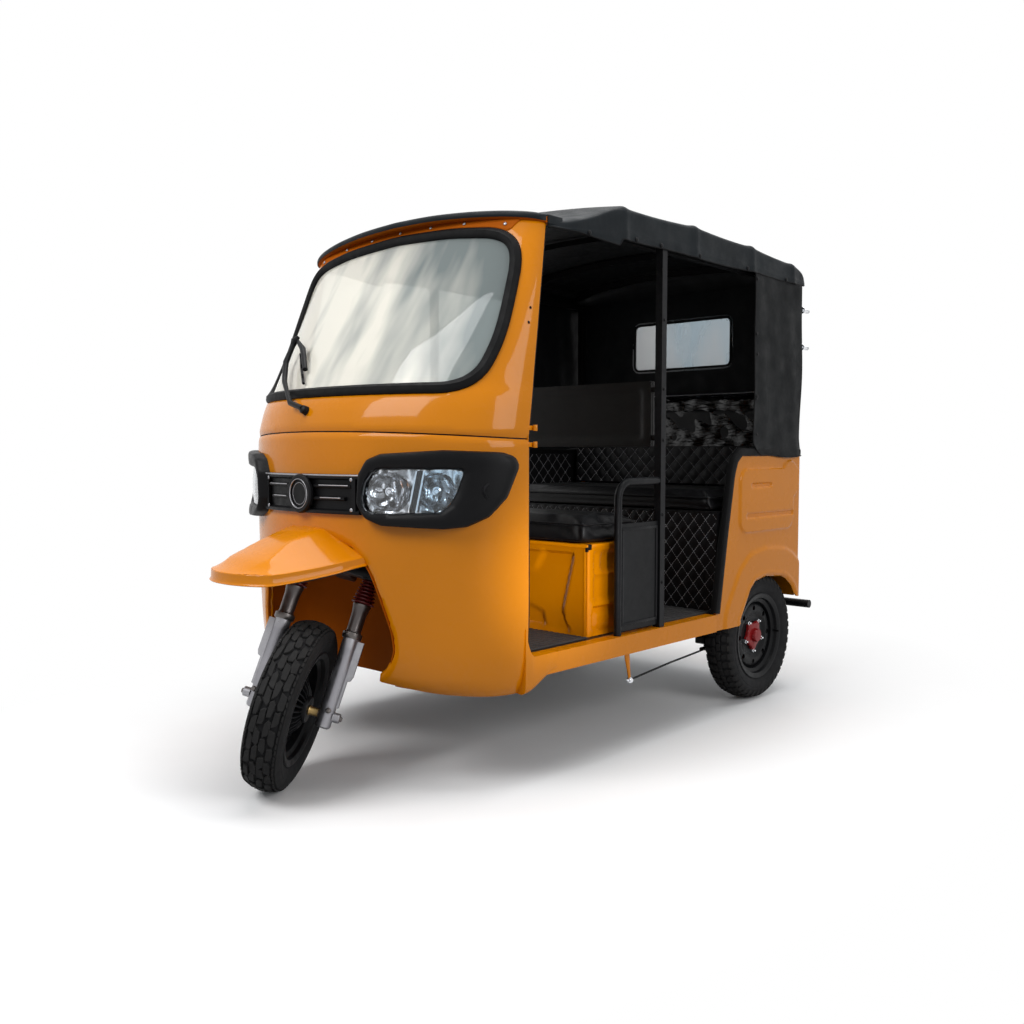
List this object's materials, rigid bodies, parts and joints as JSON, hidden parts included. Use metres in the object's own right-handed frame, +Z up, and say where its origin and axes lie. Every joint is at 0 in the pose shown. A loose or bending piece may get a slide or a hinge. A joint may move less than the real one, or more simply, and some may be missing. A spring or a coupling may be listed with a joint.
{
  "type": "electric passenger tricycle",
  "caption": "Open-sided electric passenger tricycle with a rounded cab, soft canopy, driver's seat, rear bench, turning fork and spinning wheels.",
  "frame": {"origin": "middle of the overall length and width, on the ground under the tyres", "axes": "+X to the vehicle's left, +Y to its rear, +Z up; the front wheel is at -Y"},
  "size_m": [1.286, 2.4964, 1.873],
  "materials": {
    "body_paint": "gloss",
    "black_metal": "satin",
    "rubber": "satin",
    "black_plastic": "matte",
    "tyre": "matte",
    "vinyl": "satin",
    "canopy_cloth": "satin",
    "glass": "gloss",
    "film": "gloss",
    "lamp_chrome": "gloss",
    "red_lens": "gloss",
    "fork_metal": "satin",
    "red_rubber": "satin",
    "red_paint": "gloss"
  },
  "bodies": {
    "body": {"chassis_frame": "black_metal", "floor_pan": "black_plastic", "side_sills": "body_paint", "front_cowl": "body_paint", "wheel_house": "body_paint", "screen_frame": "body_paint", "screen_rubber": "rubber", "windscreen": "glass", "front_eave": "body_paint", "front_grille": "black_plastic", "lamp_bezels": "black_plastic", "head_lamps": "lamp_chrome", "wiper": "black_plastic", "front_fender": "body_paint", "dashboard": "black_plastic", "door_hinges": "body_paint", "driver_seat_box": "body_paint", "driver_cushion": "vinyl", "partition_panel": "vinyl", "side_posts": "black_metal", "side_guards": "black_metal", "battery_block": "black_plastic", "bench_base": "vinyl", "bench_cushion": "vinyl", "bench_backrest": "vinyl", "quarter_panels": "body_paint", "rear_panel": "body_paint", "tail_lamps": "red_lens", "rear_bumper": "black_metal", "roof_frame": "black_metal", "canopy": "canopy_cloth", "side_curtains": "canopy_cloth", "rear_curtain": "canopy_cloth", "rear_window": "film", "rear_axle": "black_metal", "leaf_springs": "black_metal", "brake_linkage": "body_paint"},
    "fork": {"fork_yoke": "fork_metal", "fork_legs": "fork_metal", "fork_bellows": "red_rubber", "handlebar": "black_plastic"},
    "front_wheel": {"front_tyre": "tyre", "front_rim": "black_metal"},
    "rear_wheel_left": {"rear_tyre_left": "tyre", "rear_rim_left": "black_metal", "rear_hub_left": "red_paint"},
    "rear_wheel_right": {"rear_tyre_right": "tyre", "rear_rim_right": "black_metal", "rear_hub_right": "red_paint"}
  },
  "joints": [
    {"name": "steering", "type": "hinge", "parent": "body", "child": "fork", "pos_m": [0, -0.93061, 0.21742], "axis": [0, 0.4067, 0.9135], "range_deg": [-85, 5]},
    {"name": "front_wheel_spin", "type": "hinge", "parent": "fork", "child": "front_wheel", "pos_m": [0.08035, -1.01808, 0.25637], "axis": [0.766, 0.5872, -0.2614], "continuous": true},
    {"name": "rear_wheel_left_spin", "type": "hinge", "parent": "body", "child": "rear_wheel_left", "pos_m": [0.52, 0.9352, 0.262], "axis": [1, 0, 0], "continuous": true},
    {"name": "rear_wheel_right_spin", "type": "hinge", "parent": "body", "child": "rear_wheel_right", "pos_m": [-0.52, 0.9352, 0.262], "axis": [1, 0, 0], "continuous": true}
  ]
}
